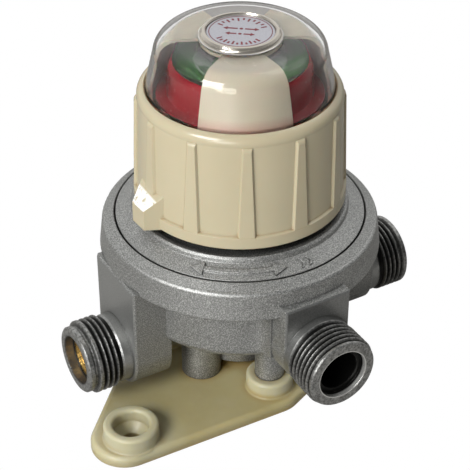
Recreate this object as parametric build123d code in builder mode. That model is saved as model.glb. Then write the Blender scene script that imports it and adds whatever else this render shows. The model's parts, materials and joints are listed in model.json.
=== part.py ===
from build123d import *
from math import atan, cos, radians, sin
import os

os.makedirs("parts", exist_ok=True)

# Automatic change-over gas regulator, in millimetres, +Z up.  The origin is on the
# knob's axis at the underside of the base plate, the inlets lie along X, and the
# outlet points to -Y.

# ---- driving dimensions ------------------------------------------------------------
running = 0.05  # radial running clearance of a shaft in its hole
seated = 0.02  # gap left between pieces that are pressed or screwed together

thread_r = 10.0  # M20 x 1.5 male thread
thread_pitch = 1.5
thread_depth = 0.92
inlet_z, inlet_end, inlet_neck_r = 17.0, 50.2, 9.4
mouth_r, mouth_depth = 6.7, 2.6
seat_r, seat_depth = 6.4, 6.5
filter_r, filter_depth = 4.6, 12.5
outlet_z, outlet_end, outlet_neck_r = 28.1, 51.0, 9.8
outlet_mouth_r, outlet_mouth_depth, outlet_bore_r = 6.8, 2.0, 5.4
block_face, block_half, block_top = 37.7, 10.6, 40.6
block_inner = 27.0
outlet_face, outlet_half, outlet_top = 39.0, 9.6, 43.0
shoulder_half, shoulder_face, shoulder_round = 9.95, 32.6, 5.0  # thicker root of the outlet block

# a port's nose outline (depth, radius), then where the first crest's flat starts, the depth of
# that crest's middle and the number of crests
inlet_threads = {
    "left": ([(0, 8.7), (-0.4, 9.1), (-1.5, 9.1), (-1.75, 8.75), (-2.3, 8.75)], 2.75, 3.45, 4),
    "right": ([(0, 9.5)], 0.4, 1.35, 5),
}
outlet_threads = ([(0, 9.15), (-0.35, 9.5), (-0.9, 9.5), (-1.31, 9.08)], 1.75625, 1.85, 5)

bowl_r, bowl_bottom, bowl_round = 30.4, 21.7, 2.5
chamber_r, chamber_floor = 26.0, 25.0
rim_r, rim_top_r, rim_bottom = 37.45, 36.7, 39.4
rim_inner_r, rim_top = 33.3, 49.0
ledge_z = 42.5
boss_r, boss_bottom = 13.5, 6.0
well_r, well_floor = 9.5, 17.5

membrane = 1.5
cover_bottom = ledge_z + membrane
bonnet_r, bonnet_top = 19.5, 78.3
bonnet_bore, bonnet_thread_r = 15.5, 13.5
neck_r, neck_top = 16.0, 82.5

knob_bottom, knob_top = 54.7, 86.5
band_r, band_top = 27.87, 58.2  # plain band around the foot of the knob
skirt_low_r, skirt_low = 27.1, 58.5
skirt_high_r, skirt_high = 26.2, 83.5
rib_count, rib_phase, rib_proud, rib_root = 12, 3.1, 0.7, 0.5
rib_low_half, rib_high_half, rib_draft = 2.77, 1.5, 30  # half widths at the rib's root
pointer_angle, pointer_tip, pointer_tip_half, pointer_root_half = 183, 30.95, 2.75, 5.65
pointer_front_top, pointer_back_top = 60.4, 64.8
web_bottom, web_top = 78.5, 80.5
dome_seat_z = 83.0

dome_r, dome_shoulder_r, dome_shoulder_z = 24.06, 21.9, 96.0
dome_top, dome_wall = 100.0, 1.2
window_angles = (183, 303, 63)
window_half_angle = 30

stem_r, stem_bore = 3.0, 1.85
shaft_r = stem_bore - running
travel = 2.0  # how far the diaphragm goes down
check_x = 32.4  # axis of the vertical passage in each inlet block
check_r = 3.0
nozzle_z, nozzle_tip = 31.5, 21.5
pivot_x, pivot_z, pin_r = 19.1, 27.4, 1.0

plate_thick = 3.4
ears = [(-44.5, -20.1), (42.0, 24.0)]  # mounting holes
lobes, lobe_r = [(-45.6, -18.9), (42.0, 24.0)], 9.25
ear_ring_r, ear_hole_r, ear_bore_r = 7.3, 2.6, 4.8
ring_root, ring_round = 0.5, 0.9
corner_r, socket_r, socket_top = 8.7, 6.3, 8.0
post_r, post_bottom = 4.0, 5.0
posts = [(-2.7, -20.7), (-17.1, 12.0), (2.7, 20.7), (17.1, -12.0)]
foot_r = 5.4
feet = [(-15.0, -5.0), (15.0, 5.0)]
screw_r, screw_head_r = 1.5, 3.0

sides = {"left": -1, "right": 1}


def save(part, label):
    part.label = label
    export_step(part, f"parts/{label}.step")


def port_plane(direction, end, height):
    """A plane that holds a port's axis: x runs out along it, y is up, the origin is on its mouth."""
    outward = Vector(*direction)
    return Plane(origin=outward * end + Vector(0, 0, height), x_dir=outward, z_dir=outward.cross(Vector(0, 0, 1)))


def threaded_stub(plane, neck, reach, nose, first_front, lead, crests):
    """A port with a nose and ring-shaped thread crests; it reaches inward from the mouth."""
    root = thread_r - thread_depth
    flat, flank = thread_pitch / 8, thread_pitch * 0.36
    points = [(0, 0), *nose, (-first_front, thread_r)]
    for crest in range(crests):
        middle = -lead - thread_pitch * crest
        if crest:
            points += [(middle + flank, root), (middle + flat / 2, thread_r)]
        points += [(middle - flat / 2, thread_r), (middle - flank, root)]
    thread_end = -lead - thread_pitch * crests
    points += [(thread_end, root), (thread_end - 0.6, neck), (-reach, neck), (-reach, 0)]
    with BuildPart() as stub:
        with BuildSketch(plane):
            with BuildLine():
                Polyline(*points, close=True)
            make_face()
        revolve(axis=Axis(plane.origin, plane.x_dir))
    return stub.part


def block(direction, face, depth, half, centre_z, top):
    """A tall block with a half-round bottom around a port's axis."""
    outward = Vector(*direction)
    inward = outward * -1
    plane = Plane(origin=outward * face + Vector(0, 0, centre_z),
                  x_dir=Vector(0, 0, 1).cross(inward), z_dir=inward)
    with BuildPart() as made:
        with BuildSketch(plane):
            Circle(half)
            with Locations((0, (top - centre_z) / 2)):
                Rectangle(2 * half, top - centre_z)
        extrude(amount=depth)
        chamfer(made.faces().sort_by(Axis(plane.origin, outward))[-1].edges(), 0.5)
    return made.part


front = (0, -1, 0)

# ---- body: die-cast bowl with two inlets and one outlet -----------------------------
with BuildPart() as body:
    with BuildSketch(Plane.XZ):
        with BuildLine():
            Polyline((0, boss_bottom), (boss_r - 0.6, boss_bottom), (boss_r, boss_bottom + 0.6),
                     (boss_r, bowl_bottom), (bowl_r - bowl_round, bowl_bottom))
            RadiusArc((bowl_r - bowl_round, bowl_bottom), (bowl_r, bowl_bottom + bowl_round), -bowl_round)
            Polyline((bowl_r, bowl_bottom + bowl_round), (bowl_r, rim_bottom), (rim_r - 0.5, rim_bottom),
                     (rim_r, rim_bottom + 0.5), (rim_top_r, 46.4))
            ThreePointArc((rim_top_r, 46.4), (rim_top_r - 0.25, 47.15), (rim_top_r - 0.9, 47.55))
            Polyline((rim_top_r - 0.9, 47.55), (rim_inner_r + 0.3, rim_top), (rim_inner_r, rim_top - 0.3),
                     (rim_inner_r, ledge_z), (chamber_r, ledge_z), (chamber_r, chamber_floor),
                     (well_r, chamber_floor), (well_r, well_floor), (0, well_floor), (0, boss_bottom))
        make_face()
    revolve(axis=Axis.Z)
    for name, sign in sides.items():
        side = (sign, 0, 0)
        add(block(side, block_face, block_face - block_inner, block_half, inlet_z, block_top))
        add(threaded_stub(port_plane(side, inlet_end, inlet_z), inlet_neck_r, inlet_end - block_inner - 2,
                          *inlet_threads[name]))
    add(block(front, outlet_face, outlet_face - block_inner, outlet_half, outlet_z, outlet_top))
    add(threaded_stub(port_plane(front, outlet_end, outlet_z), outlet_neck_r, outlet_end - block_inner - 1,
                      *outlet_threads))
    # the outlet block's root is a little wider and runs into the bowl with a cast fillet
    fillet_x = shoulder_half + shoulder_round
    fillet_y = ((bowl_r + shoulder_round) ** 2 - fillet_x ** 2) ** 0.5
    touch = bowl_r / (bowl_r + shoulder_round)
    for sign in sides.values():
        with BuildSketch(Plane.XY.offset(bowl_bottom + bowl_round)):
            with BuildLine():
                Polyline((sign * fillet_x * touch, -fillet_y * touch), (0, -bowl_r + 3), (0, -shoulder_face),
                         (sign * shoulder_half, -shoulder_face), (sign * shoulder_half, -fillet_y))
                RadiusArc((sign * shoulder_half, -fillet_y), (sign * fillet_x * touch, -fillet_y * touch),
                          sign * shoulder_round)
            make_face()
        extrude(amount=rim_bottom + 1 - bowl_bottom - bowl_round)
    # posts and feet between the bowl and the base plate
    for x, y in posts:
        with BuildSketch(Plane((x, y, post_bottom))):
            Circle(post_r)
        extrude(amount=bowl_bottom + 1 - post_bottom)
    for x, y in feet:
        with BuildSketch(Plane((x, y, plate_thick + seated))):
            Circle(foot_r)
        extrude(amount=bowl_bottom + 1 - plate_thick)
    # ears for the lever pins
    for sign in sides.values():
        for ear in (-4.4, 4.4):
            with BuildSketch(Plane((sign * pivot_x, ear, chamber_floor - 1))):
                Rectangle(4.4, 2.0)
            extrude(amount=pivot_z + 3.2 - chamber_floor)
    # clear the chamber again, where the ports and the posts reach into it
    with BuildSketch(Plane.XY.offset(chamber_floor + 6)):
        Circle(chamber_r)
    extrude(amount=ledge_z - chamber_floor - 6, mode=Mode.SUBTRACT)
    with BuildSketch(Plane.XY.offset(ledge_z)):
        Circle(rim_inner_r)
    extrude(amount=10, mode=Mode.SUBTRACT)
    # gas ways
    for name, sign in sides.items():
        mouth = port_plane((sign, 0, 0), inlet_end, inlet_z)
        seat = Plane(mouth.origin, x_dir=(0, 1, 0), z_dir=(-sign, 0, 0))
        for radius, depth in ((mouth_r, mouth_depth), (seat_r, seat_depth), (filter_r, filter_depth),
                              (2.6, inlet_end - check_x + 1)):
            with BuildSketch(seat):
                Circle(radius)
            extrude(amount=depth, mode=Mode.SUBTRACT)
        for radius, low, high in ((3.2, 5, 11.5), (1.8, 11, 25), (check_r, 24, 34)):
            with BuildSketch(Plane((sign * check_x, 0, low))):
                Circle(radius)
            extrude(amount=high - low, mode=Mode.SUBTRACT)
        with BuildSketch(Plane((sign * check_x, 0, nozzle_z), x_dir=(0, 1, 0), z_dir=(-sign, 0, 0))):
            Circle(1.6)
        extrude(amount=check_x - chamber_r + 1, mode=Mode.SUBTRACT)
        with BuildSketch(Plane((sign * 28.2, 0, nozzle_z), x_dir=(0, 1, 0), z_dir=(-sign, 0, 0))):
            Circle(2.6)
        extrude(amount=28.2 - chamber_r + 1, mode=Mode.SUBTRACT)
        with BuildSketch(Plane((sign * pivot_x, -6, pivot_z), x_dir=(1, 0, 0), z_dir=(0, 1, 0))):
            Circle(pin_r + seated)
        extrude(amount=12, mode=Mode.SUBTRACT)
    mouth = Plane((0, -outlet_end, outlet_z), x_dir=(1, 0, 0), z_dir=(0, 1, 0))
    for radius, depth in ((outlet_mouth_r, outlet_mouth_depth), (outlet_bore_r, outlet_end - 24)):
        with BuildSketch(mouth):
            Circle(radius)
        extrude(amount=depth, mode=Mode.SUBTRACT)
    for x, y in posts:
        with BuildSketch(Plane((x, y, post_bottom))):
            Circle(screw_r + seated)
        extrude(amount=10, mode=Mode.SUBTRACT)
save(body.part, "body")

# ---- cover: flange, lip and the bonnet that the knob turns on --------------------------
cone_slope = (rim_top - 51.3) / (33.0 - 28.8)


def cone_z(radius):
    """Height of the cover's conical face."""
    return rim_top + (radius - 33.0) * cone_slope



def cone_plane(angle, radius, sink, way=1):
    """A plane in the conical face, sunk a little: x runs round the cover, z leaves the face."""
    turn = radians(angle)
    radial, tangent = Vector(cos(turn), sin(turn), 0), Vector(-sin(turn), cos(turn), 0) * way
    normal = Vector(-cone_slope * cos(turn), -cone_slope * sin(turn), 1).normalized()
    return Plane(radial * radius + Vector(0, 0, cone_z(radius)) - normal * sink, x_dir=tangent, z_dir=normal)


arrow_angle, arrow_half_span = -121, 17
arrow_r, arrow_half_width, arrow_height = 30.9, 0.5, 0.5
chevron_angles, chevron_height = (-90, -86), 0.4
with BuildPart() as cover:
    with BuildSketch(Plane.XZ):
        with BuildLine():
            Polyline((bonnet_bore, cover_bottom), (32.98, cover_bottom), (32.98, cone_z(32.98)),
                     (28.8, 51.3), (28.6, 52.3), (28.1, 52.8), (27.0, 52.8), (26.6, 52.4),
                     (26.6, 51.4), (21.5, 51.4), (bonnet_r, 53.0), (bonnet_r, bonnet_top),
                     (neck_r, bonnet_top), (neck_r, web_top + 0.2), (neck_r - 0.8, web_top + 0.2),
                     (neck_r - 0.8, web_top + 1.2), (neck_r, web_top + 1.2), (neck_r, neck_top - 0.5),
                     (neck_r - 0.5, neck_top), (bonnet_thread_r, neck_top), (bonnet_thread_r, 66.0),
                     (bonnet_bore, 64.0), close=True)
        make_face()
    revolve(axis=Axis.Z)
    # room above the diaphragm's loop
    with BuildSketch(Plane.XZ):
        with BuildLine():
            Polyline((bonnet_bore - 1, cover_bottom - 1), (27.0, cover_bottom - 1), (27.0, 48.0),
                     (25.5, 49.2), (bonnet_bore - 1, 49.2), close=True)
        make_face()
    revolve(axis=Axis.Z, mode=Mode.SUBTRACT)
    # a raised curved bar with an arrow head at each end: the knob's direction mark
    start = Plane.XZ.rotated((0, 0, arrow_angle - arrow_half_span))
    low_r, high_r = arrow_r - arrow_half_width, arrow_r + arrow_half_width
    with BuildSketch(start):
        with BuildLine():
            Polyline((low_r, cone_z(low_r) - 0.4), (high_r, cone_z(high_r) - 0.4),
                     (high_r, cone_z(high_r) + arrow_height), (low_r, cone_z(low_r) + arrow_height), close=True)
        make_face()
    revolve(axis=Axis.Z, revolution_arc=2 * arrow_half_span)
    for way in (-1, 1):
        with BuildSketch(cone_plane(arrow_angle + way * arrow_half_span, arrow_r, 0.4, way)):
            with BuildLine():
                Polyline((-0.3, -1.75), (3.2, 0), (-0.3, 1.75), close=True)
            make_face()
        extrude(amount=0.4 + arrow_height)
    # two small raised chevrons above the outlet
    for angle in chevron_angles:
        with BuildSketch(cone_plane(angle, arrow_r, 0.4)):
            with BuildLine():
                Polyline((-0.7, -1.3), (0.0, -1.3), (0.8, 0), (0.0, 1.3), (-0.7, 1.3), (0.1, 0), close=True)
            make_face()
        extrude(amount=0.4 + chevron_height)
save(cover.part, "cover")

# ---- knob: ribbed cap with a pointer ---------------------------------------------------
skirt_slope = (skirt_low_r - skirt_high_r) / (skirt_high - skirt_low)
lean = atan(skirt_slope)
rib_middle, rib_reach = 71.0, 16.0


def skirt_r(height):
    """Outer radius of the knob's plain skirt between its ribs."""
    return skirt_low_r - skirt_slope * (height - skirt_low)


with BuildPart() as ribs:
    # tapered bars with drafted sides, cut to one outer cone with rounded tops
    for number in range(rib_count):
        turn = radians(rib_phase + 360 / rib_count * number)
        spot = (skirt_r(rib_middle) - rib_root) * Vector(cos(turn), sin(turn), 0) + Vector(0, 0, rib_middle)
        normal = Vector(cos(turn) * cos(lean), sin(turn) * cos(lean), sin(lean))
        with BuildSketch(Plane(spot, x_dir=(-sin(turn), cos(turn), 0), z_dir=normal)):
            with BuildLine():
                Polyline((-rib_low_half, -rib_reach), (rib_low_half, -rib_reach), (rib_high_half, rib_reach),
                         (-rib_high_half, rib_reach), close=True)
            make_face()
        extrude(amount=rib_root + rib_proud + 0.3, taper=rib_draft)
    with BuildSketch(Plane.XZ):
        with BuildLine():
            top_r, top_z = skirt_r(82.2) + rib_proud, 82.2
            Polyline((24, band_top - 0.6), (skirt_r(band_top - 0.6) + rib_proud, band_top - 0.6), (top_r, top_z))
            ThreePointArc((top_r, top_z), (top_r - 0.15, top_z + 0.85), (skirt_high_r, skirt_high + 0.1))
            Polyline((skirt_high_r, skirt_high + 0.1), (24, skirt_high + 0.1), (24, band_top - 0.6))
        make_face()
    revolve(axis=Axis.Z, mode=Mode.INTERSECT)

turn = radians(pointer_angle)
pointer_way = Vector(cos(turn), sin(turn), 0)
with BuildPart() as pointer:
    with BuildSketch(Plane((0, 0, 0), x_dir=pointer_way, z_dir=pointer_way.cross(Vector(0, 0, 1)))):
        with BuildLine():
            Polyline((26.0, knob_bottom), (pointer_tip, knob_bottom), (pointer_tip, pointer_front_top),
                     (26.2, pointer_back_top), (26.0, pointer_back_top), close=True)
        make_face()
    extrude(amount=pointer_root_half + 1, both=True)
    with BuildSketch(Plane((0, 0, knob_bottom), x_dir=pointer_way, z_dir=(0, 0, 1))):
        with BuildLine():
            Polyline((25.9, -pointer_root_half), (pointer_tip, -pointer_tip_half), (pointer_tip, pointer_tip_half),
                     (25.9, pointer_root_half), close=True)
        make_face()
    extrude(amount=pointer_back_top + 1 - knob_bottom, mode=Mode.INTERSECT)

with BuildPart() as knob:
    with BuildSketch(Plane.XZ):
        with BuildLine():
            Polyline((25.0, knob_bottom), (band_r - 0.4, knob_bottom), (band_r, knob_bottom + 0.4),
                     (band_r, band_top), (skirt_low_r, skirt_low), (skirt_high_r, skirt_high))
            ThreePointArc((skirt_high_r, skirt_high), (25.9, 85.5), (24.5, knob_top))
            Polyline((24.5, knob_top), (dome_r + seated * 3, knob_top - 0.2), (dome_r + seated * 3, dome_seat_z),
                     (22.2, dome_seat_z), (22.2, web_top), (neck_r + 0.08, web_top),
                     (neck_r + 0.08, web_bottom), (23.6, web_bottom), (25.0, knob_bottom))
        make_face()
    revolve(axis=Axis.Z)
    add(ribs.part)
    add(pointer.part)
save(knob.part, "knob")

with BuildPart() as knob_snap_ring:
    with BuildSketch(Plane.XY.offset(web_top + 0.3)):
        Circle(17.8)
        Circle(neck_r - 0.7, mode=Mode.SUBTRACT)
        with Locations((neck_r, 0)):
            Rectangle(6, 4, mode=Mode.SUBTRACT)
    extrude(amount=0.8)
save(knob_snap_ring.part, "knob_snap_ring")

# ---- clear dome, window mask and label -------------------------------------------------


def dome_outline(inset):
    """Points and corner of the dome's outline, moved inward by an inset."""
    return (dome_r - inset, dome_shoulder_r - inset, dome_shoulder_z - inset / 4, dome_top - inset)


with BuildPart() as dome:
    base_r, shoulder, shoulder_z, top = dome_outline(0)
    base_in, shoulder_in, shoulder_in_z, top_in = dome_outline(dome_wall)
    with BuildSketch(Plane.XZ):
        with BuildLine():
            Polyline((base_in, dome_seat_z + seated), (base_r, dome_seat_z + seated), (base_r, knob_top),
                     (shoulder, shoulder_z))
            ThreePointArc((shoulder, shoulder_z), (20.5, 98.8), (17.6, top))
            Polyline((17.6, top), (10.9, top + 0.2))
            ThreePointArc((10.9, top + 0.2), (10.25, 100.5), (10.0, 101.1))
            Polyline((10.0, 101.1), (9.6, 101.6), (8.9, 101.7), (8.7, 101.4), (8.7, 100.6), (0, 100.6),
                     (0, top_in), (16.6, top_in))
            ThreePointArc((16.6, top_in), (19.35, 97.8), (shoulder_in, shoulder_in_z))
            Polyline((shoulder_in, shoulder_in_z), (base_in, knob_top), (base_in, dome_seat_z + seated))
        make_face()
    revolve(axis=Axis.Z)
save(dome.part, "dome")

with BuildPart() as label_plate:
    with BuildSketch(Plane.XY.offset(100.6 + seated)):
        Circle(8.6)
    extrude(amount=0.55)
    chamfer(label_plate.faces().sort_by(Axis.Z)[-1].edges(), 0.15)
save(label_plate.part, "label_plate")

mask_gap, mask_wall, hub_r = 0.12, 0.8, 10.2
with BuildPart() as window_mask:
    out_r, out_s, out_z, out_top = dome_outline(dome_wall + mask_gap)
    in_r, in_s, in_z, in_top = dome_outline(dome_wall + mask_gap + mask_wall)
    with BuildSketch(Plane.XZ):
        with BuildLine():
            Polyline((in_r, dome_seat_z + 0.4), (out_r, dome_seat_z + 0.4), (out_r, knob_top), (out_s, out_z))
            ThreePointArc((out_s, out_z), (19.2, 97.65), (16.4, out_top))
            Polyline((16.4, out_top), (0, out_top), (0, in_top), (15.8, in_top))
            ThreePointArc((15.8, in_top), (18.3, 97.0), (in_s, in_z))
            Polyline((in_s, in_z), (in_r, knob_top), (in_r, dome_seat_z + 0.4))
        make_face()
    revolve(axis=Axis.Z)
    for angle in window_angles:
        with BuildSketch(Plane.XY.offset(dome_seat_z + 1.2)):
            with BuildLine():
                CenterArc((0, 0), hub_r, angle - window_half_angle, 2 * window_half_angle)
                CenterArc((0, 0), 30.0, angle - window_half_angle, 2 * window_half_angle)
                for edge in (angle - window_half_angle, angle + window_half_angle):
                    c, s = cos(radians(edge)), sin(radians(edge))
                    Line((hub_r * c, hub_r * s), (30.0 * c, 30.0 * s))
            make_face()
        extrude(amount=20, mode=Mode.SUBTRACT)
save(window_mask.part, "window_mask")

# ---- selector shaft and its cam, turned by the knob ------------------------------------
with BuildPart() as selector_shaft:
    with BuildSketch(Plane.XY.offset(18.4)):
        Circle(shaft_r)
    extrude(amount=in_top - seated - 18.4)
    with BuildSketch(Plane.XY.offset(94.5)):
        Circle(4.0)
    extrude(amount=in_top - seated - 94.5)
save(selector_shaft.part, "selector_shaft")

with BuildPart() as selector_cam:
    with BuildSketch(Plane.XY.offset(18.6)):
        Circle(7.6)
        Circle(shaft_r + seated, mode=Mode.SUBTRACT)
    extrude(amount=1.2)
    with BuildSketch(Plane.XY.offset(19.8)):
        Circle(7.6)
        Circle(5.6, mode=Mode.SUBTRACT)
        with Locations((5, 0)):
            Rectangle(10, 16, mode=Mode.SUBTRACT)
    extrude(amount=1.6)
save(selector_cam.part, "selector_cam")

# ---- diaphragm and what moves with it ----------------------------------------------------
loop_r, loop_out = 2.2, 25.0
with BuildPart() as diaphragm:
    with BuildSketch(Plane.XZ):
        with BuildLine():
            mid_r = loop_out - loop_r
            Polyline((stem_r + seated, ledge_z), (mid_r - loop_r, ledge_z))
            ThreePointArc((mid_r - loop_r, ledge_z), (mid_r, ledge_z + loop_r), (mid_r + loop_r, ledge_z))
            Polyline((mid_r + loop_r, ledge_z), (rim_inner_r - 0.2, ledge_z), (rim_inner_r - 0.2, cover_bottom),
                     (mid_r + loop_r + 1.2, cover_bottom))
            ThreePointArc((mid_r + loop_r + 1.2, cover_bottom), (mid_r, ledge_z + loop_r + membrane),
                          (mid_r - loop_r - 1.2, cover_bottom))
            Polyline((mid_r - loop_r - 1.2, cover_bottom), (stem_r + seated, cover_bottom),
                     (stem_r + seated, ledge_z))
        make_face()
    revolve(axis=Axis.Z)
save(diaphragm.part, "diaphragm")

plate_r = 18.6
with BuildPart() as diaphragm_upper_plate:
    with BuildSketch(Plane.XZ):
        with BuildLine():
            Polyline((stem_r + seated, cover_bottom), (13.8, cover_bottom), (14.0, cover_bottom + 0.4),
                     (14.0, cover_bottom + 2.2), (12.8, cover_bottom + 2.2), (12.6, cover_bottom + 1.2),
                     (stem_r + seated, cover_bottom + 1.2), close=True)
        make_face()
    revolve(axis=Axis.Z)
save(diaphragm_upper_plate.part, "diaphragm_upper_plate")

with BuildPart() as diaphragm_lower_plate:
    with BuildSketch(Plane.XZ):
        with BuildLine():
            Polyline((stem_r + seated, ledge_z), (plate_r, ledge_z), (plate_r, ledge_z - 0.6),
                     (plate_r - 1.2, ledge_z - 1.2), (stem_r + seated, ledge_z - 1.2), close=True)
        make_face()
    revolve(axis=Axis.Z)
save(diaphragm_lower_plate.part, "diaphragm_lower_plate")

nut_bottom = cover_bottom + 1.2
with BuildPart() as diaphragm_nut:
    with BuildSketch(Plane.XY.offset(nut_bottom)):
        RegularPolygon(5.5, 6)
        Circle(stem_r + seated, mode=Mode.SUBTRACT)
    extrude(amount=2.4)
save(diaphragm_nut.part, "diaphragm_nut")

drum_floor, drum_top, drum_low_r, drum_high_r, drum_wall = 85.6, 94.2, 18.6, 17.9, 0.9
drum_foot, drum_flange_r = 84.4, 21.2
with BuildPart() as diaphragm_stem:
    with BuildSketch(Plane.XZ):
        with BuildLine():
            Polyline((stem_bore, 24.7), (5.5, 24.7), (5.5, 25.9), (stem_r + 0.2, 25.9), (stem_r + 0.2, 29.0),
                     (5.5, 29.0), (5.5, 30.2), (stem_r + 0.2, 30.2), (stem_r + 0.2, 39.8), (6.0, 39.8),
                     (6.0, ledge_z - 1.2), (stem_r, ledge_z - 1.2), (stem_r, drum_floor),
                     (stem_r - 0.4, drum_floor), (stem_r - 0.4, drum_floor + 2.4), (stem_bore, drum_floor + 2.4),
                     close=True)
        make_face()
    revolve(axis=Axis.Z)
save(diaphragm_stem.part, "diaphragm_stem")

with BuildPart() as indicator_drum:
    with BuildSketch(Plane.XZ):
        with BuildLine():
            Polyline((stem_r - 0.4 + seated, drum_floor), (drum_low_r - drum_wall, drum_floor),
                     (drum_low_r - drum_wall, drum_foot), (drum_flange_r, drum_foot),
                     (drum_flange_r, drum_foot + 0.8), (drum_low_r, drum_foot + 1.1), (drum_high_r, drum_top - 1.4),
                     (drum_high_r - 0.7, drum_top), (drum_high_r - drum_wall, drum_top),
                     (drum_high_r - drum_wall, drum_floor + 4.2), (stem_r + 1.0, drum_floor + 4.2),
                     (stem_r + 1.0, drum_floor + 3.0), (stem_r - 0.4 + seated, drum_floor + 3.0), close=True)
        make_face()
    revolve(axis=Axis.Z)
    with BuildSketch(Plane.XZ):
        with BuildLine():
            Polyline((stem_r + 1.6, drum_floor - 1), (drum_low_r - drum_wall, drum_floor - 1),
                     (drum_low_r - drum_wall - 0.6, drum_floor + 3.2), (stem_r + 1.6, drum_floor + 3.2), close=True)
        make_face()
    revolve(axis=Axis.Z, mode=Mode.SUBTRACT)
save(indicator_drum.part, "indicator_drum")

liner_r = drum_high_r - drum_wall - seated
liner_top = drum_top - 1.9
with BuildPart() as indicator_liner:
    with BuildSketch(Plane.XZ):
        with BuildLine():
            Polyline((stem_r + 1.2, drum_floor + 4.22), (liner_r, drum_floor + 4.22), (liner_r, liner_top),
                     (liner_r - 1.3, liner_top), (liner_r - 1.3, drum_floor + 6.0),
                     (stem_r + 1.2, drum_floor + 5.4), close=True)
        make_face()
    revolve(axis=Axis.Z)
save(indicator_liner.part, "indicator_liner")

lens_r = liner_r - 1.3 - seated
with BuildPart() as indicator_lens:
    with BuildSketch(Plane.XZ):
        with BuildLine():
            Polyline((7.0, drum_floor + 6.1), (lens_r, drum_floor + 6.1), (lens_r, liner_top + seated),
                     (liner_r, liner_top + seated), (liner_r, drum_top - 0.5))
            ThreePointArc((liner_r, drum_top - 0.5), (liner_r - 2.6, drum_top + 0.2), (11.0, drum_top - 0.6))
            Polyline((11.0, drum_top - 0.6), (7.0, drum_floor + 6.1))
        make_face()
    revolve(axis=Axis.Z)
save(indicator_lens.part, "indicator_lens")

# ---- main spring, its seat and the adjusting ring ----------------------------------------
spring_low, spring_high = nut_bottom + 0.03, 68.0
wire_r, coil_r, coil_turns = 1.0, 9.6, 5.0


def coil(centre, low, high, radius, wire, turns):
    """A round-wire compression spring along Z."""
    height = high - low - 2 * wire
    with BuildPart() as spring:
        with BuildLine():
            path = Helix(pitch=height / turns, height=height, radius=radius, center=(centre, 0, low + wire))
        with BuildSketch(Plane(path @ 0, z_dir=path % 0)):
            Circle(wire)
        sweep(path=path, is_frenet=True)
    return spring.part


save(coil(0, spring_low, spring_high, coil_r, wire_r, coil_turns), "main_spring")

with BuildPart() as spring_seat:
    with BuildSketch(Plane.XZ):
        with BuildLine():
            Polyline((6.0, spring_high + 0.03), (12.4, spring_high + 0.03), (12.4, 69.4), (7.2, 69.4),
                     (6.0, 68.8), close=True)
        make_face()
    revolve(axis=Axis.Z)
save(spring_seat.part, "spring_seat")

with BuildPart() as adjusting_ring:
    with BuildSketch(Plane.XY.offset(69.5)):
        Circle(bonnet_thread_r - seated)
        Circle(7.0, mode=Mode.SUBTRACT)
        with PolarLocations(10.2, 4):
            SlotOverall(4.6, 2.0, rotation=90, mode=Mode.SUBTRACT)
    extrude(amount=5.0)
save(adjusting_ring.part, "adjusting_ring")

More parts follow.
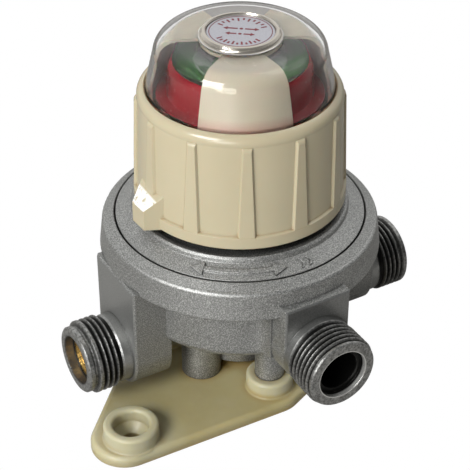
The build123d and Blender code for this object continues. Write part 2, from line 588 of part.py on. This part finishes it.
# ---- inlet pieces, one set on each side --------------------------------------------------
for name, sign in sides.items():
    outward = Vector(sign, 0, 0)
    line = Plane((0, 0, inlet_z), x_dir=outward, z_dir=outward.cross(Vector(0, 0, 1)))
    axis = Axis((0, 0, inlet_z), (1, 0, 0))
    depth = inlet_end - seat_depth

    with BuildPart() as inlet_seat:
        with BuildSketch(line):
            with BuildLine():
                Polyline((depth + seated, 2.9), (depth + seated, seat_r - seated), (depth + 3.8, seat_r - seated),
                         (depth + 3.8, 5.4), (depth + 3.0, 5.1), (depth + 2.9, 4.6), (depth + 1.9, 4.3),
                         (depth + 1.2, 2.9), close=True)
            make_face()
        revolve(axis=axis)
    save(inlet_seat.part, f"inlet_seat_{name}")

    with BuildPart() as inlet_filter:
        with BuildSketch(line):
            with BuildLine():
                Polyline((depth - 5.9, 0), (depth - 5.9, 3.2), (depth - 0.1, 4.5), (depth - 0.1, 3.9),
                         (depth - 5.3, 2.7), (depth - 5.3, 0), close=True)
            make_face()
        revolve(axis=axis)
    save(inlet_filter.part, f"inlet_filter_{name}")

    with BuildPart() as passage_plug:
        with BuildSketch(Plane((sign * check_x, 0, 7.4))):
            Circle(3.2 - seated)
        extrude(amount=3.8)
        with BuildSketch(Plane((sign * check_x, 0, 7.4))):
            RegularPolygon(1.5, 6)
        extrude(amount=2.0, mode=Mode.SUBTRACT)
    save(passage_plug.part, f"passage_plug_{name}")

    with BuildPart() as check_disc:
        with BuildSketch(Plane((sign * check_x, 0, 25.0))):
            Circle(check_r - running)
        extrude(amount=1.0)
        with BuildSketch(Plane((sign * check_x, 0, 26.0))):
            Circle(1.2)
        extrude(amount=1.6)
    save(check_disc.part, f"check_disc_{name}")

    save(coil(sign * check_x, 26.03, 33.97, 2.2, 0.3, 5.0), f"check_spring_{name}")

    with BuildPart() as nozzle:
        with BuildSketch(Plane((0, 0, nozzle_z), x_dir=outward, z_dir=outward.cross(Vector(0, 0, 1)))):
            with BuildLine():
                Polyline((28.2 - seated, 1.0), (28.2 - seated, 2.6 - seated), (25.6, 2.6 - seated), (25.4, 3.3),
                         (24.0, 3.3), (23.6, 2.3), (nozzle_tip + 0.4, 2.1), (nozzle_tip, 1.5), (nozzle_tip, 1.0),
                         close=True)
            make_face()
        revolve(axis=Axis((0, 0, nozzle_z), (1, 0, 0)))
    save(nozzle.part, f"nozzle_{name}")

    with BuildPart() as valve_pad:
        with BuildSketch(Plane((sign * (nozzle_tip - 0.1), 0, nozzle_z), x_dir=(0, 1, 0), z_dir=(-sign, 0, 0))):
            Circle(2.3)
        extrude(amount=1.2)
    save(valve_pad.part, f"valve_pad_{name}")

    # L-shaped lever: the short arm carries the pad, the long arm rides in the stem's groove
    with BuildPart() as lever:
        with BuildSketch(Plane((0, 0, 0), x_dir=outward, z_dir=outward.cross(Vector(0, 0, 1)))):
            with BuildLine():
                Polyline((3.9, 26.6), (17.4, 26.6), (17.9, 26.0), (20.2, 26.0), (20.2, 34.2), (18.6, 34.2),
                         (18.2, 29.0), (17.2, 28.2), (3.9, 28.2), close=True)
            make_face()
        extrude(amount=2.8, both=True)
        with BuildSketch(Plane((sign * pivot_x, -6, pivot_z), x_dir=(1, 0, 0), z_dir=(0, 1, 0))):
            Circle(pin_r + running)
        extrude(amount=12, mode=Mode.SUBTRACT)
    save(lever.part, f"lever_{name}")

    with BuildPart() as lever_pin:
        with BuildSketch(Plane((sign * pivot_x, -5.6, pivot_z), x_dir=(1, 0, 0), z_dir=(0, 1, 0))):
            Circle(pin_r)
        extrude(amount=11.2)
    save(lever_pin.part, f"lever_pin_{name}")

# ---- base plate and its screws ---------------------------------------------------------
with BuildPart() as base_plate:
    with BuildSketch():
        with Locations(*lobes):
            Circle(lobe_r)
        with Locations(*posts):
            Circle(corner_r)
        make_hull()
    extrude(amount=plate_thick)
    fillet(base_plate.faces().sort_by(Axis.Z)[-1].edges(), 1.4)
    chamfer(base_plate.faces().sort_by(Axis.Z)[0].edges(), 0.4)
    # raised rings with a rounded top and a soft root
    for radius, places in ((ear_ring_r, ears), (socket_r, posts)):
        for x, y in places:
            with BuildSketch(Plane.XZ.offset(-y)):
                with BuildLine():
                    foot = x + radius + ring_root
                    Polyline((x, socket_top), (x, plate_thick - 1), (foot, plate_thick - 1), (foot, plate_thick))
                    RadiusArc((foot, plate_thick), (x + radius, plate_thick + ring_root), ring_root)
                    Line((x + radius, plate_thick + ring_root), (x + radius, socket_top - ring_round))
                    RadiusArc((x + radius, socket_top - ring_round), (x + radius - ring_round, socket_top),
                              -ring_round)
                    Line((x + radius - ring_round, socket_top), (x, socket_top))
                make_face()
            revolve(axis=Axis((x, y, 0), (0, 0, 1)))
    # countersunk mounting holes with a rounded mouth
    for x, y in ears:
        with BuildSketch(Plane.XZ.offset(-y)):
            with BuildLine():
                Polyline((x, socket_top + 1), (x, -1), (x + ear_hole_r, -1), (x + ear_hole_r, 2.1),
                         (x + ear_bore_r, 4.4), (x + ear_bore_r, socket_top - ring_round))
                RadiusArc((x + ear_bore_r, socket_top - ring_round), (x + ear_bore_r + ring_round, socket_top),
                          ring_round)
                Polyline((x + ear_bore_r + ring_round, socket_top),
                         (x + ear_bore_r + ring_round, socket_top + 1), (x, socket_top + 1))
            make_face()
        revolve(axis=Axis((x, y, 0), (0, 0, 1)), mode=Mode.SUBTRACT)
    for x, y in posts:
        for radius, low, high in ((post_r + seated, post_bottom, 9), (screw_r + 0.2, 0, 9), (screw_head_r + 0.3, 0, 2.2)):
            with BuildSketch(Plane((x, y, low))):
                Circle(radius)
            extrude(amount=high - low, mode=Mode.SUBTRACT)
save(base_plate.part, "base_plate")

with BuildPart() as plate_screws:
    for x, y in posts:
        with BuildSketch(Plane((x, y, 0.2))):
            Circle(screw_head_r)
        extrude(amount=1.98)
        with BuildSketch(Plane((x, y, 2.0))):
            Circle(screw_r)
        extrude(amount=12.0)
        with BuildSketch(Plane((x, y, 0.2))):
            Rectangle(3.4, 0.7)
            Rectangle(0.7, 3.4)
        extrude(amount=1.1, mode=Mode.SUBTRACT)
save(plate_screws.part, "plate_screws")
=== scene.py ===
import json
from math import cos, pi, radians, sin

import bmesh
import bpy
from mathutils import Matrix, Vector


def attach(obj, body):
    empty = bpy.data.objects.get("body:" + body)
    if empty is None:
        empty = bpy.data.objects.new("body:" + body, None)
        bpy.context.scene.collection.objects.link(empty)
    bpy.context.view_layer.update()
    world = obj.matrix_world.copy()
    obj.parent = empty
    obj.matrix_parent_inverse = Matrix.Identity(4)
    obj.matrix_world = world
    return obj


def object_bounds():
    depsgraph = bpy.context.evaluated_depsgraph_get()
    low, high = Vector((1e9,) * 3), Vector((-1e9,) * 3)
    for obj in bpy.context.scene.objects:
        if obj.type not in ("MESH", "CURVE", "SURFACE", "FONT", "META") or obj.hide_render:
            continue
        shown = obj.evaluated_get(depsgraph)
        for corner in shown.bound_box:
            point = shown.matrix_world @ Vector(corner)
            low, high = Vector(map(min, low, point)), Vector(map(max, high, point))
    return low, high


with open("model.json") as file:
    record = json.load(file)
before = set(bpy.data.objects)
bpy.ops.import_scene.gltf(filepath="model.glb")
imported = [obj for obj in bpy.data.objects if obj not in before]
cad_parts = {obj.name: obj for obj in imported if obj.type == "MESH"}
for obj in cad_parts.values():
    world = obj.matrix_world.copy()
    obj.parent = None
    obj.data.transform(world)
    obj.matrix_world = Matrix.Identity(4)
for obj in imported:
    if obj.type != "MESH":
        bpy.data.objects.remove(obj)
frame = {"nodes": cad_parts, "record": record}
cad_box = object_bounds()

# Automatic change-over gas regulator, in the CAD frame: +Z up along the knob's axis, inlets on
# -X and +X, outlet on -Y.  Blender works in metres.  Lengths on the object are written in
# millimetres, and MM turns them into metres; the floor and the lights are written in metres.
MM = 0.001
scene = bpy.context.scene
scene.view_settings.view_transform = "Standard"

# ---- camera ------------------------------------------------------------------------
EYE = Vector((-171.9, -289.6, 279.4)) * MM
HEADING, PITCH, ROLL = radians(59.52), radians(-35.45), radians(0.156)
LENS, SENSOR = 117.62, 36.0


def make_camera():
    forward = Vector((cos(PITCH) * cos(HEADING), cos(PITCH) * sin(HEADING), sin(PITCH)))
    right = forward.cross(Vector((0, 0, 1))).normalized()
    up = right.cross(forward)
    tilted = right * cos(ROLL) + up * sin(ROLL)
    upright = tilted.cross(forward)
    data = bpy.data.cameras.new("camera")
    data.lens, data.sensor_width = LENS, SENSOR
    data.clip_start, data.clip_end = 0.01, 10.0
    camera = bpy.data.objects.new("camera", data)
    axes = Matrix((tilted, upright, -forward)).transposed().to_4x4()
    camera.matrix_world = Matrix.Translation(EYE) @ axes
    scene.collection.objects.link(camera)
    scene.camera = camera


make_camera()


# ---- material helpers ----------------------------------------------------------------
class Shader:
    """A Principled material and short calls for the nodes that feed it; lengths are in mm."""

    def __init__(self, name, **sockets):
        self.material = bpy.data.materials.new(name)
        self.material.use_nodes = True
        self.nodes = self.material.node_tree.nodes
        self.links = self.material.node_tree.links
        self.bsdf = self.nodes["Principled BSDF"]
        self.coordinates = self.nodes.new("ShaderNodeTexCoord").outputs["Object"]
        for socket, value in sockets.items():
            self.bsdf.inputs[socket.replace("_", " ")].default_value = value

    def feed(self, socket, value):
        """Set a socket from a number, a colour or another node's output."""
        if isinstance(value, (int, float)):
            socket.default_value = value
        elif isinstance(value, tuple):
            socket.default_value = (*value, 1.0)
        else:
            self.links.new(value, socket)

    def set(self, name, value):
        self.feed(self.bsdf.inputs[name], value)

    # -- where a point is
    def axis(self, name):
        node = self.nodes.new("ShaderNodeSeparateXYZ")
        self.links.new(self.coordinates, node.inputs[0])
        return node.outputs[name]

    def from_axis(self, first, second, first_middle=0.0, second_middle=0.0):
        """Distance from a line along the third axis."""
        a = self.math("SUBTRACT", self.axis(first), first_middle * MM)
        b = self.math("SUBTRACT", self.axis(second), second_middle * MM)
        return self.math("SQRT", self.math("ADD", self.both(a, a), self.both(b, b)))

    def facing(self, name):
        """The true surface's normal along one axis, from -1 to 1."""
        geometry = self.nodes.new("ShaderNodeNewGeometry")
        node = self.nodes.new("ShaderNodeSeparateXYZ")
        self.links.new(geometry.outputs["True Normal"], node.inputs[0])
        return node.outputs[name]

    def grazing(self):
        """0 where the surface faces the viewer and 1 where it is seen edge on."""
        node = self.nodes.new("ShaderNodeLayerWeight")
        node.inputs["Blend"].default_value = 0.5
        return node.outputs["Facing"]

    def recess(self, distance, samples=12):
        """1 in the open and 0 deep in a groove, from rays of that length."""
        node = self.nodes.new("ShaderNodeAmbientOcclusion")
        node.samples = samples
        node.inputs["Distance"].default_value = distance * MM
        return node.outputs["AO"]

    # -- values
    def noise(self, scale, detail=3.0, roughness=0.55):
        """Noise over the object; scale is in features per metre."""
        node = self.nodes.new("ShaderNodeTexNoise")
        node.inputs["Scale"].default_value = scale
        node.inputs["Detail"].default_value = detail
        node.inputs["Roughness"].default_value = roughness
        self.links.new(self.coordinates, node.inputs["Vector"])
        return node.outputs["Fac"]

    def span(self, value, low, high, from_low=0.3, from_high=0.7):
        """Map one range to another, held at both ends; noise fills about 0.3 to 0.7."""
        node = self.nodes.new("ShaderNodeMapRange")
        numbers = {"From Min": from_low, "From Max": from_high, "To Min": low, "To Max": high}
        for socket, number in numbers.items():
            node.inputs[socket].default_value = number
        self.links.new(value, node.inputs["Value"])
        return node.outputs["Result"]

    def over(self, length, limit, softness):
        """1 where a length is over the limit, and 0 under it."""
        return self.span(length, 0.0, 1.0, (limit - softness) * MM, (limit + softness) * MM)

    def under(self, length, limit, softness):
        """1 where a length is under the limit, and 0 over it."""
        return self.span(length, 1.0, 0.0, (limit - softness) * MM, (limit + softness) * MM)

    def math(self, operation, a, b=None):
        node = self.nodes.new("ShaderNodeMath")
        node.operation = operation
        self.feed(node.inputs[0], a)
        if b is not None:
            self.feed(node.inputs[1], b)
        return node.outputs[0]

    def both(self, a, b):
        return self.math("MULTIPLY", a, b)

    def either(self, a, b):
        return self.math("MAXIMUM", a, b)

    def opposite(self, value):
        return self.math("SUBTRACT", 1.0, value)

    def mix_value(self, factor, a, b):
        node = self.nodes.new("ShaderNodeMix")
        node.data_type = "FLOAT"
        for socket, value in ((node.inputs[0], factor), (node.inputs[2], a), (node.inputs[3], b)):
            self.feed(socket, value)
        return node.outputs[0]

    # -- colours
    def ramp(self, value, *stops):
        """A colour ramp: each stop is (place, (r, g, b))."""
        node = self.nodes.new("ShaderNodeValToRGB")
        elements = node.color_ramp.elements
        while len(elements) < len(stops):
            elements.new(0.5)
        for element, (place, colour) in zip(elements, stops):
            element.position = place
            element.color = (*colour, 1.0)
        self.links.new(value, node.inputs["Fac"])
        return node.outputs["Color"]

    def blotches(self, noise, low, high):
        """A noise's two colours, from its dark patches to its light ones."""
        return self.ramp(noise, (0.3, low), (0.7, high))

    def mix(self, factor, a, b, blend="MIX"):
        node = self.nodes.new("ShaderNodeMix")
        node.data_type, node.blend_type = "RGBA", blend
        for socket, value in ((node.inputs[0], factor), (node.inputs[6], a), (node.inputs[7], b)):
            self.feed(socket, value)
        return node.outputs[2]

    # -- relief
    def bump(self, value, height, strength, edge=0.0):
        """Bump of a real height; edge is the radius that sharp edges are softened to."""
        node = self.nodes.new("ShaderNodeBump")
        node.inputs["Strength"].default_value = strength
        node.inputs["Distance"].default_value = height * MM
        self.links.new(value, node.inputs["Height"])
        if edge:
            soft = self.nodes.new("ShaderNodeBevel")
            soft.samples = 6
            soft.inputs["Radius"].default_value = edge * MM
            self.links.new(soft.outputs["Normal"], node.inputs["Normal"])
        self.set("Normal", node.outputs["Normal"])

    def smooth_finish(self, rough_low, rough_high):
        """The faint surface of moulded plastic."""
        fine = self.noise(1200, 2.0)
        self.set("Roughness", self.span(fine, rough_low, rough_high))
        self.bump(fine, 0.01, 0.4, edge=0.2)


# ---- materials -----------------------------------------------------------------------
INLET_Z, OUTLET_Z = 17.0, 28.1  # heights of the ports' axes
SIDE_FLAT, OUTLET_FLAT = 37.6, 38.6  # the milled block faces, from the knob's axis
INLET_TURNED, OUTLET_TURNED = 40.4, 41.0  # where the turned ports begin
INLET_NOSE, OUTLET_NOSE = 47.8, 49.8  # where the last crest ends
GROOVE_R, MOUTH_R, MOUTH_FLOOR_R, BORE_R = 9.5, 7.05, 5.8, 5.7


def zinc_material():
    """Die-cast zinc with a sparkling grain and milled flats; painted shade makes the thread
    grooves and bores dark and darkens recesses, and painted light and shade tone the milled flats
    and the port mouths.
    """
    s = Shader("zinc_casting", Metallic=0.8)
    sideways = s.math("ABSOLUTE", s.axis("X"))
    side_flat = s.over(sideways, SIDE_FLAT, 0.3)
    milled = s.either(side_flat, s.under(s.axis("Y"), -OUTLET_FLAT, 0.2))
    inlet = s.over(sideways, INLET_TURNED, 0.3)
    port = s.either(inlet, s.under(s.axis("Y"), -OUTLET_TURNED, 0.2))
    nose = s.either(s.over(sideways, INLET_NOSE, 0.3), s.under(s.axis("Y"), -OUTLET_NOSE, 0.2))
    outlet_radius = s.from_axis("X", "Z", 0.0, OUTLET_Z)
    radius = s.mix_value(inlet, outlet_radius, s.from_axis("Y", "Z", 0.0, INLET_Z))
    # painted shade: the thread grooves and the bores are painted near black, standing in for the
    # shade and dark reflections inside them.
    groove = s.both(s.under(radius, GROOVE_R, 0.3), s.opposite(nose))
    groove_and_bore_shade = s.both(port, s.either(s.under(radius, BORE_R, 0.1), groove))
    mouth = s.both(s.over(radius, MOUTH_FLOOR_R, 0.1), s.under(radius, MOUTH_R, 0.05))

    grain = s.noise(3500, 2.0, 0.65)
    cast = s.ramp(grain, (0.32, (0.17, 0.172, 0.166)), (0.5, (0.31, 0.313, 0.303)),
                  (0.68, (0.66, 0.662, 0.64)))
    cast = s.mix(s.span(s.noise(55), 0.0, 0.3), cast, (0.24, 0.242, 0.23))
    # painted light and shade: the side flats are painted lighter than the outlet's flat, as lit
    # and shaded copies of one milled finish.
    flat = s.mix(side_flat, s.blotches(grain, (0.20, 0.202, 0.196), (0.31, 0.313, 0.303)),
                 s.blotches(grain, (0.31, 0.313, 0.303), (0.43, 0.433, 0.42)))
    turned = s.ramp(s.noise(1400, 3.0, 0.7), (0.35, (0.14, 0.14, 0.134)),
                    (0.65, (0.42, 0.42, 0.405)))
    metal = s.mix(port, s.mix(milled, cast, flat), turned)
    # painted shade: the zinc is painted darker under and between parts, from rays 12 mm long.
    metal = s.mix(1.0, metal, s.span(s.recess(12), 0.55, 1.0, 0.30, 0.75), "MULTIPLY")
    # painted shade: the zinc is painted near black deep in grooves and creases.
    metal = s.mix(s.span(s.recess(1.2), 0.05, 1.0, 0.25, 0.8), (0.07, 0.07, 0.066), metal)
    # painted light: the outlet's mouth wall is painted pale for the light inside it, and the
    # inlets' mouth walls a dim grey.
    mouth_wall = s.mix(inlet, (0.74, 0.74, 0.71), (0.15, 0.15, 0.145))
    metal = s.mix(s.both(mouth, port), metal, mouth_wall)
    # painted shade: the grooves and bores are painted near black here.
    s.set("Base Color", s.mix(groove_and_bore_shade, metal, (0.012, 0.012, 0.011)))

    rough = s.mix(milled, s.span(grain, 0.36, 0.56), s.span(grain, 0.30, 0.42))
    s.set("Roughness", s.mix(port, rough, s.span(grain, 0.26, 0.42)))
    s.bump(s.both(grain, s.span(milled, 1.0, 0.35, 0.0, 1.0)), 0.11, 0.55, edge=0.3)
    return s.material


POINTER_START, POINTER_TOP = -27.8, 65.75  # X of the pointer's root, and Z over its top


def knob_material():
    """Cream glossy plastic with painted shade in its recesses; the pointer's sloping top facet is
    rubbed pale.
    """
    s = Shader("cream_plastic", Subsurface_Weight=0.10, Subsurface_Scale=0.002)
    clouds = s.noise(40)
    cream = s.blotches(clouds, (0.465, 0.408, 0.274), (0.490, 0.432, 0.294))
    # painted shade: the cream is painted dark brown deep in recesses, such as along the ribs'
    # feet.
    cream = s.mix(s.span(s.recess(1.6, 24), 0.0, 1.0, 0.45, 0.86), (0.27, 0.175, 0.075), cream)
    outside = s.under(s.axis("X"), POINTER_START, 0.2)
    pointer = s.both(outside, s.under(s.axis("Z"), POINTER_TOP, 0.25))
    sloping = s.span(s.facing("Z"), 0.0, 1.0, 0.25, 0.4)
    scuffs = s.span(s.noise(600, 3.0, 0.7), 0.0, 1.0, 0.34, 0.46)
    worn = s.both(s.both(sloping, pointer), scuffs)
    s.set("Base Color", s.mix(worn, cream, (0.86, 0.84, 0.80)))
    s.set("Roughness", s.math("ADD", s.span(clouds, 0.21, 0.25), s.both(worn, 0.25)))
    s.bump(clouds, 0.02, 0.2, edge=0.3)
    return s.material


def plastic_material(name, low, high, rough=(0.18, 0.28)):
    s = Shader(name)
    s.set("Base Color", s.blotches(s.noise(60), low, high))
    s.smooth_finish(*rough)
    return s.material


MASK_FOOT, MASK_RED_REFLECTION_TOP = 84.8, 89.0


def mask_material():
    """Cream plastic, painted pink near its foot as painted reflected light from the red flange
    beside it.
    """
    s = Shader("cream_mask", Subsurface_Weight=0.1, Subsurface_Scale=0.001)
    cream = s.blotches(s.noise(60), (0.70, 0.63, 0.485), (0.74, 0.67, 0.525))
    # painted reflection: pink near the foot, from the red flange beside it, fading out upwards.
    red_reflection = s.span(s.axis("Z"), 0.80, 0.0, MASK_FOOT * MM, MASK_RED_REFLECTION_TOP * MM)
    s.set("Base Color", s.mix(red_reflection, cream, (0.62, 0.25, 0.21)))
    s.smooth_finish(0.18, 0.28)
    return s.material


BOSS_INNER, BOSS_OUTER, BOSS_FOOT = 8.5, 10.65, 100.3  # the dome's ring round the label


def clear_material():
    """Clear plastic with a painted dark outline where it is seen edge on; the ring round the label
    is silvered.
    """
    s = Shader("clear_plastic", IOR=1.40, Specular_IOR_Level=0.32)
    clear = s.blotches(s.noise(80, 2.0), (0.97, 0.965, 0.95), (1.0, 0.995, 0.985))
    radius = s.from_axis("X", "Y")
    ring = s.both(s.over(radius, BOSS_INNER, 0.1), s.under(radius, BOSS_OUTER, 0.15))
    boss = s.both(ring, s.over(s.axis("Z"), BOSS_FOOT, 0.1))
    # painted shade: darker where the dome is seen edge on, a painted dark outline.
    edge_on = s.span(s.grazing(), 0.0, 1.0, 0.66, 0.94)
    s.set("Base Color", s.mix(boss, s.mix(edge_on, clear, (0.26, 0.21, 0.20)), (0.60, 0.56, 0.49)))
    s.set("Transmission Weight", s.opposite(boss))
    s.set("Metallic", s.both(boss, 0.8))
    fine = s.noise(300, 2.0)
    s.set("Roughness", s.math("ADD", s.span(fine, 0.01, 0.035), s.both(boss, 0.15)))
    s.bump(fine, 0.004, 0.4)
    return s.material


EAR = (-44.5, -20.1)  # the mounting hole nearest the left inlet


def nylon_material():
    """Natural nylon: waxy and a little translucent, paler on the raised rings, painted paler round
    the ear as painted light let through it, and painted brown shade in its recesses.
    """
    s = Shader("natural_nylon", Subsurface_Weight=0.45, Subsurface_Scale=0.004)
    s.bsdf.inputs["Subsurface Radius"].default_value = (1.0, 0.75, 0.35)
    clouds = s.noise(35, 4.0)
    waxy = s.blotches(clouds, (0.36, 0.305, 0.145), (0.47, 0.42, 0.235))
    pale = s.blotches(clouds, (0.43, 0.405, 0.265), (0.50, 0.475, 0.33))
    raised = s.over(s.axis("Z"), 4.6, 0.6)
    # painted light: paler round the ear, standing in for light let through the thin plate.
    near_ear = s.under(s.from_axis("X", "Y", *EAR), 11.75, 3.25)
    body = s.mix(s.either(raised, s.both(near_ear, 0.8)), waxy, pale)
    # painted shade: the nylon is painted brown in recesses and next to other parts.
    in_the_open = s.span(s.recess(4.0), 0.0, 1.0, 0.35, 0.85)
    s.set("Base Color", s.mix(in_the_open, (0.32, 0.215, 0.07), body))
    fine = s.noise(1500, 2.0)
    s.set("Roughness", s.span(fine, 0.36, 0.5))
    s.bump(fine, 0.02, 0.5, edge=0.5)
    return s.material


def metal_material(name, low, high, rough, grain_scale=1600):
    s = Shader(name, Metallic=1.0)
    grain = s.noise(grain_scale, 3.0, 0.6)
    s.set("Base Color", s.blotches(grain, low, high))
    s.set("Roughness", s.span(grain, *rough))
    s.bump(grain, 0.02, 0.5, edge=0.15)
    return s.material


def rubber_material(name, low, high):
    s = Shader(name)
    grain = s.noise(1400)
    s.set("Base Color", s.blotches(grain, low, high))
    s.set("Roughness", s.span(grain, 0.55, 0.75))
    s.bump(grain, 0.04, 0.5, edge=0.2)
    return s.material


MATERIALS = {
    "zinc_casting": zinc_material(),
    "cream_knob": knob_material(),
    "clear_plastic": clear_material(),
    "mask_plastic": mask_material(),
    "label_foil": metal_material("label_foil", (0.50, 0.50, 0.54), (0.62, 0.62, 0.66),
                                 (0.38, 0.5), 2500),
    "red_plastic": plastic_material("red_plastic", (0.29, 0.005, 0.012), (0.35, 0.009, 0.018)),
    "green_plastic": plastic_material("green_plastic", (0.06, 0.36, 0.06), (0.10, 0.48, 0.09)),
    "nylon_base": nylon_material(),
    "brass": metal_material("brass", (0.62, 0.38, 0.10), (0.80, 0.53, 0.17), (0.2, 0.34)),
    "steel": metal_material("plated_steel", (0.45, 0.45, 0.46), (0.60, 0.60, 0.61), (0.25, 0.4)),
    "spring_steel": metal_material("spring_steel", (0.28, 0.28, 0.29), (0.42, 0.42, 0.43),
                                   (0.28, 0.42)),
    "aluminium_plate": metal_material("aluminium_plate", (0.60, 0.60, 0.61), (0.72, 0.72, 0.73),
                                      (0.3, 0.45)),
    "rubber": rubber_material("rubber", (0.018, 0.018, 0.018), (0.04, 0.04, 0.038)),
    "black_acetal": rubber_material("black_acetal", (0.02, 0.02, 0.022), (0.045, 0.045, 0.047)),
}


def set_material(piece, material):
    piece.data.materials.clear()
    piece.data.materials.append(material)


for entry in frame["record"]["subparts"]:
    set_material(frame["nodes"][entry["node"]], MATERIALS[entry["material_slot"]])


# ---- label print -----------------------------------------------------------------------
LABEL_TOP, INK = 101.17, 0.03  # the label's face and the print's thickness
LABEL_UP = 52  # the way that the print's top points, in degrees from +X
RING = (7.75, 7.95)  # inner and outer radius
TICK_R, LONG_TICK, SHORT_TICK = 6.9, 1.5, 0.9
TICK_COUNT, TICK_SPREAD = 11, 2.2  # in each arc, and half of one tick's angle in degrees
TICK_ARCS = ((62, LABEL_UP), (50, LABEL_UP + 180))  # half the arc and its middle, in degrees
ARROWS = ((1.35, 3.4), (-1.35, 2.6))  # each pair's height on the label, and its bars' reach
BAR_START, BAR_HALF, HEAD_HALF, HEAD_LENGTH, DOT_R = 0.9, 0.28, 0.75, 1.1, 0.45


def add_prism(mesh, corners):
    """A flat ink shape on the label: corners in order round its edge."""
    low, high = [[mesh.verts.new((x * MM, y * MM, z * MM)) for x, y in corners]
                 for z in (LABEL_TOP, LABEL_TOP + INK)]
    count = len(corners)
    mesh.faces.new(list(reversed(low)))
    mesh.faces.new(high)
    for i in range(count):
        j = (i + 1) % count
        mesh.faces.new((low[i], low[j], high[j], high[i]))


def polar(radius, degrees):
    return radius * cos(radians(degrees)), radius * sin(radians(degrees))


def arc_band(mesh, inner, outer, start, end, step=5.0):
    """A curved band between two radii and two angles, as short straight pieces."""
    count = max(1, round((end - start) / step))
    for i in range(count):
        a, b = start + (end - start) * i / count, start + (end - start) * (i + 1) / count
        add_prism(mesh, [polar(inner, a), polar(outer, a), polar(outer, b), polar(inner, b)])


def arrow_shapes(y, reach):
    """Two arrows that point away from a dot between them."""
    low, high = y - BAR_HALF, y + BAR_HALF
    for way in (-1, 1):
        start, end, tip = BAR_START * way, reach * way, (reach + HEAD_LENGTH) * way
        yield [(start, low), (end, low), (end, high), (start, high)]
        yield [(end, y - HEAD_HALF), (tip, y), (end, y + HEAD_HALF)]
    yield [(DOT_R * cos(k * pi / 4), y + DOT_R * sin(k * pi / 4)) for k in range(8)]


def make_label_print():
    """Generic dark red print: a ring, two arcs of ticks, arrows and dots.  It has no words."""
    mesh = bmesh.new()
    arc_band(mesh, *RING, 0, 360)
    for spread, middle in TICK_ARCS:
        for i in range(TICK_COUNT):
            angle = middle - spread + 2 * spread * i / (TICK_COUNT - 1)
            length = LONG_TICK if i % 2 == 0 else SHORT_TICK
            arc_band(mesh, TICK_R - length, TICK_R, angle - TICK_SPREAD, angle + TICK_SPREAD)
    turn = Matrix.Rotation(radians(LABEL_UP - 90), 2)
    for y, reach in ARROWS:
        for shape in arrow_shapes(y, reach):
            add_prism(mesh, [tuple(turn @ Vector(corner)) for corner in shape])
    bmesh.ops.recalc_face_normals(mesh, faces=mesh.faces)
    data = bpy.data.meshes.new("label_print")
    mesh.to_mesh(data)
    mesh.free()
    piece = bpy.data.objects.new("label_print", data)
    scene.collection.objects.link(piece)
    ink = plastic_material("label_ink", (0.16, 0.012, 0.02), (0.24, 0.022, 0.035), (0.4, 0.5))
    set_material(piece, ink)
    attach(piece, "selector")


make_label_print()


# ---- floor and light -----------------------------------------------------------------
FLOOR_HALF, FLOOR_DROP = 3.0, 0.0002  # half its side, and its gap under the base plate


def make_floor():
    """Pure white to the camera, and grey to everything that it lights."""
    mesh = bpy.data.meshes.new("floor")
    half = FLOOR_HALF
    corners = [(-half, -half, 0), (half, -half, 0), (half, half, 0), (-half, half, 0)]
    mesh.from_pydata(corners, [], [(0, 1, 2, 3)])
    floor = bpy.data.objects.new("floor", mesh)
    floor.location.z = cad_box[0][2] - FLOOR_DROP
    scene.collection.objects.link(floor)
    s = Shader("floor", Roughness=0.9, Specular_IOR_Level=0.0)
    seen = s.nodes.new("ShaderNodeLightPath").outputs["Is Camera Ray"]
    s.set("Emission Color", (1.0, 1.0, 1.0))
    s.set("Emission Strength", seen)
    s.set("Base Color", s.mix(seen, (0.34, 0.333, 0.32), (0.0, 0.0, 0.0)))
    set_material(floor, s.material)


BRIGHT_WAY = (0.45, 0.76, 0.47)  # behind and above the object, seen from the camera
DARK_FROM, BRIGHT_FROM = -0.2, 0.90  # cosine of the angle from it, at the fade's two ends
DARK, BRIGHT = 0.06, 0.85


def make_world():
    """A studio that is bright behind and above the object, and dark towards the camera's side."""
    world = bpy.data.worlds.new("studio")
    world.use_nodes = True
    nodes, links = world.node_tree.nodes, world.node_tree.links
    way = nodes.new("ShaderNodeTexCoord").outputs["Generated"]
    dot = nodes.new("ShaderNodeVectorMath")
    dot.operation = "DOT_PRODUCT"
    dot.inputs[1].default_value = BRIGHT_WAY
    links.new(way, dot.inputs[0])
    fade = nodes.new("ShaderNodeMapRange")
    fade.interpolation_type = "SMOOTHSTEP"
    numbers = {"From Min": DARK_FROM, "From Max": BRIGHT_FROM, "To Min": DARK, "To Max": BRIGHT}
    for socket, number in numbers.items():
        fade.inputs[socket].default_value = number
    links.new(dot.outputs["Value"], fade.inputs["Value"])
    background = nodes["Background"]
    background.inputs["Color"].default_value = (1, 1, 1, 1)
    links.new(fade.outputs["Result"], background.inputs["Strength"])
    scene.world = world


LIGHT_TARGET = Vector((0, 0, 0.05))
LIGHTS = {  # name: (place and size in metres, power in watts)
    "key": ((-0.80, -0.30, 0.62), (0.45, 0.35), 9.8),
    "top_right": ((0.50, 0.10, 0.85), (0.5, 0.5), 0.6),
    "front_fill": ((-0.85, -0.75, 0.24), (0.5, 0.4), 4.8),
}


def make_lights():
    for name, (place, size, power) in LIGHTS.items():
        data = bpy.data.lights.new(name, "AREA")
        data.shape, data.size, data.size_y = "RECTANGLE", *size
        data.energy = power
        lamp = bpy.data.objects.new(name, data)
        lamp.location = place
        lamp.rotation_euler = (LIGHT_TARGET - Vector(place)).to_track_quat("-Z", "Y").to_euler()
        scene.collection.objects.link(lamp)


make_floor()
make_world()
make_lights()
